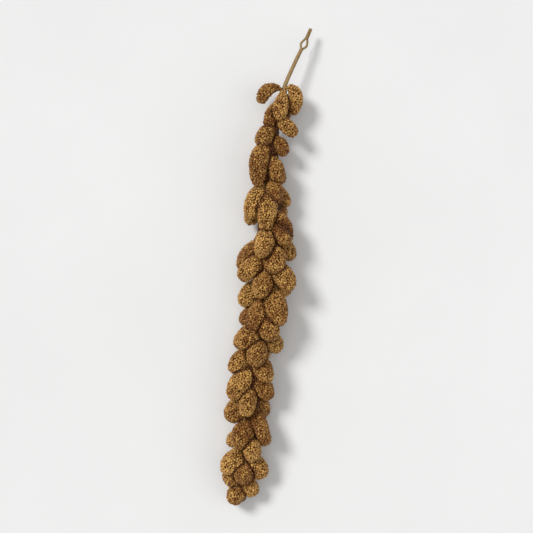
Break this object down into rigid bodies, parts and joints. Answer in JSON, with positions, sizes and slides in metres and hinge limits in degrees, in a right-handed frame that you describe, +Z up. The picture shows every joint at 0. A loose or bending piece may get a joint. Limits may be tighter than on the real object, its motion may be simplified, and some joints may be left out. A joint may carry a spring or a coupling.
{
  "type": "millet seed head",
  "caption": "Dried spray of foxtail millet: a bare straw stalk with a small split, and a long tapering head of bumpy grain clusters, lying on a surface.",
  "frame": {"origin": "on the surface under the middle of the bounding box", "axes": "+Y runs from the tip of the head to the cut end of the stalk, +Z is up from the surface that it lies on, +X is to the right seen from above with the stalk at the top"},
  "size_m": [0.0552, 0.2861, 0.0328],
  "materials": {
    "grain": "dry golden tan grains with brown gaps, matt with a faint sheen",
    "straw": "dry pale straw with fine lengthwise fibres, matt"
  },
  "bodies": {
    "root": {"seed_head": "grain", "stalk": "straw"}
  },
  "joints": []
}
